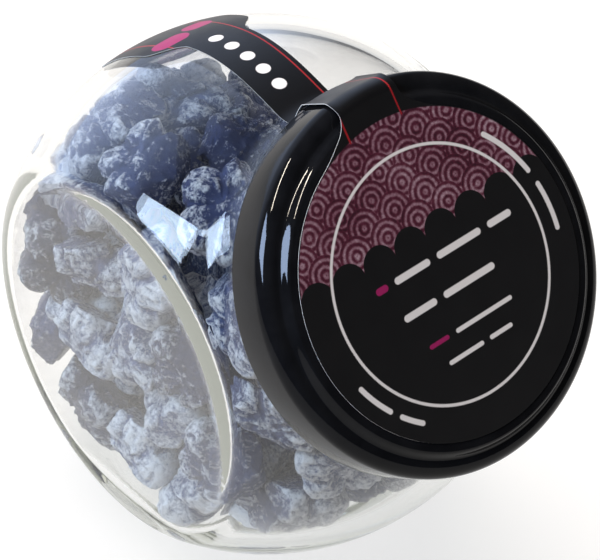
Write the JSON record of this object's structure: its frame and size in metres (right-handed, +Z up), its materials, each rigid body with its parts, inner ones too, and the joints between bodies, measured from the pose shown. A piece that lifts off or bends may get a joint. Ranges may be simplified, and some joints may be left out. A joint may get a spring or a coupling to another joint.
{
  "type": "filled candy jar",
  "caption": "Slanted clear glass ball jar with flat sides, shut by a black twist-off lid and a paper seal, filled with flower-shaped blue-violet hard candies.",
  "frame": {"origin": "middle of the jar's flat base, on the surface it stands on", "axes": "+Z up, -Y the way the slanted mouth faces, +X across the two flat sides"},
  "size_m": [0.0684, 0.1098, 0.0987],
  "materials": {
    "clear_glass": "clear pressed glass, polished",
    "black_lacquer": "gloss black lacquer on tinplate",
    "printed_paper": "satin printed label paper",
    "violet_sugar": "translucent boiled sugar with a white frost"
  },
  "bodies": {
    "root": {"glass_jar": "clear_glass", "lid": "black_lacquer", "paper_seal": "printed_paper", "candy_heap": "violet_sugar"}
  },
  "joints": []
}
